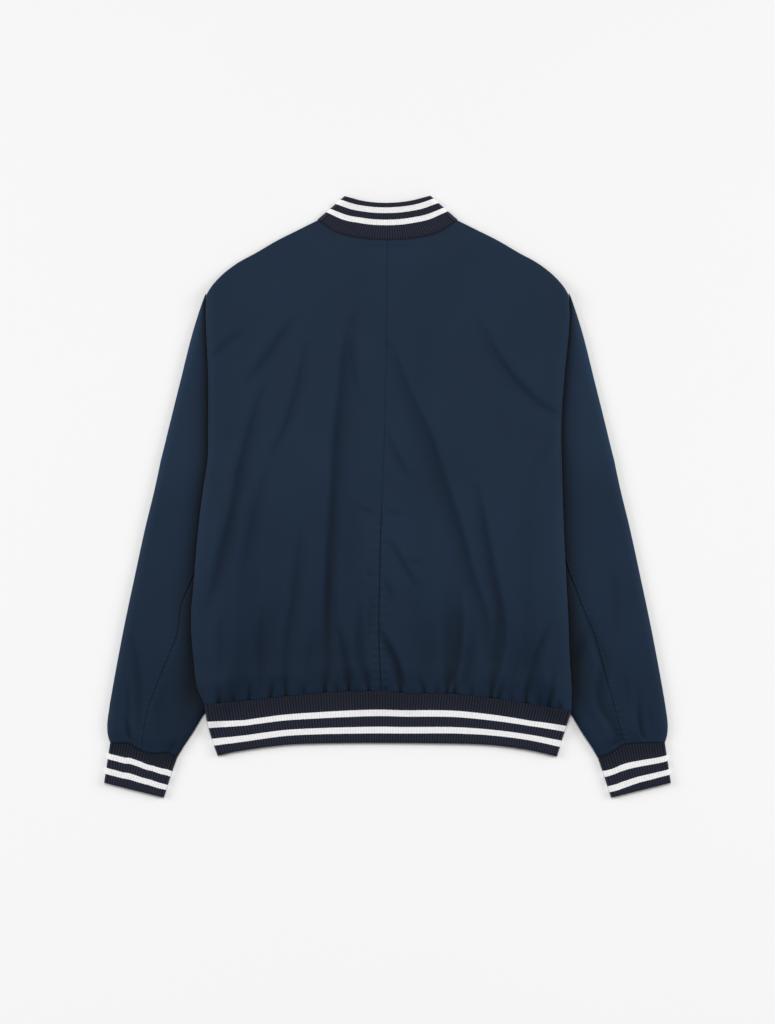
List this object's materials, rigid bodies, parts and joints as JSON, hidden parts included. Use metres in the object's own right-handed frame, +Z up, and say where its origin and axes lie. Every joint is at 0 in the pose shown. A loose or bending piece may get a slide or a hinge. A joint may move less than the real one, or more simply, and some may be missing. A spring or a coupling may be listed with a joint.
{
  "type": "varsity jacket",
  "caption": "Varsity jacket laid flat on its front, with plain body panels, sleeves turned down beside it, and rib-knit collar, cuffs and hem band with pale stripes.",
  "frame": {"origin": "on the surface that the jacket lies on, in the middle of its length and width", "axes": "+Y from the hem to the collar, +X towards the wearer's right side, +Z up through the back"},
  "size_m": [0.7604, 0.8066, 0.0217],
  "materials": {
    "shell": "matte navy cloth",
    "knit": "matte navy rib knit",
    "snap": "satin"
  },
  "bodies": {
    "root": {"back_left": "shell", "back_right": "shell", "front_left": "shell", "front_right": "shell", "sleeve_left_outer": "shell", "sleeve_left_under": "shell", "sleeve_right_outer": "shell", "sleeve_right_under": "shell", "collar_rib": "knit", "hem_rib": "knit", "cuff_left": "knit", "cuff_right": "knit", "snap_1": "snap", "snap_2": "snap", "snap_3": "snap", "snap_4": "snap", "snap_5": "snap"}
  },
  "joints": []
}
